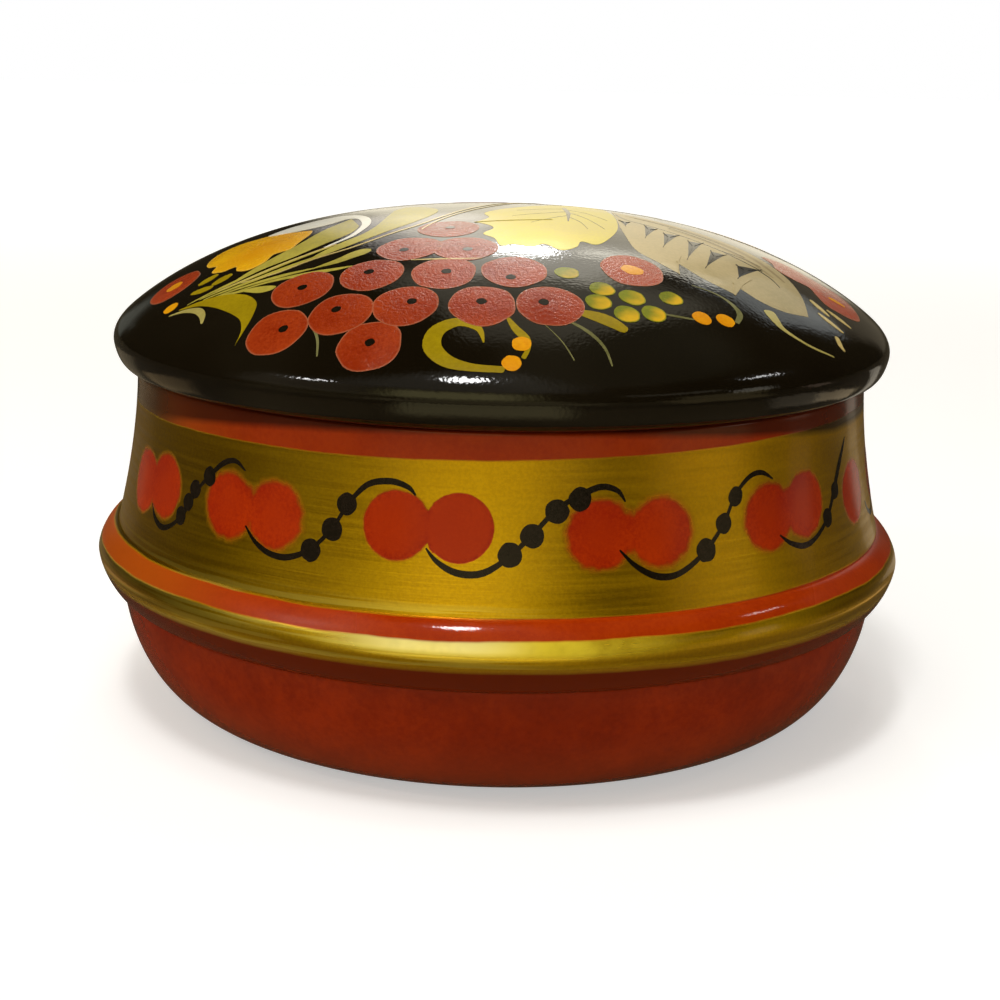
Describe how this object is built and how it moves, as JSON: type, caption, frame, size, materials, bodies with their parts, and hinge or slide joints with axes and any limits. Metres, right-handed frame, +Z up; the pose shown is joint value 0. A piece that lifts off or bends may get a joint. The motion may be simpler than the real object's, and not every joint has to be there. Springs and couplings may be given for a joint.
{
  "type": "lacquer trinket box",
  "caption": "Round turned wooden trinket box with a waisted gold band, a bead, a bowl-shaped foot and a black domed lift-off lid painted with berries and leaves.",
  "frame": {"origin": "middle of the underside, on the turning axis, in the plane that the box stands on", "axes": "+Z up along the turning axis, out of the top of the dome; -Y towards the side that the picture shows"},
  "size_m": [0.11, 0.11, 0.0669],
  "materials": {
    "body_lacquer": "gold, red and red-brown paint under clear golden lacquer, glossy",
    "lid_lacquer": "black ground with painted berries and leaves under clear golden lacquer, glossy"
  },
  "bodies": {
    "body": {"box_body": "body_lacquer"},
    "lid": {"lid": "lid_lacquer"}
  },
  "joints": [
    {"name": "lid_lift", "type": "slide", "parent": "body", "child": "lid", "axis": [0, 0, 1], "range_m": [0, 0.06]}
  ]
}
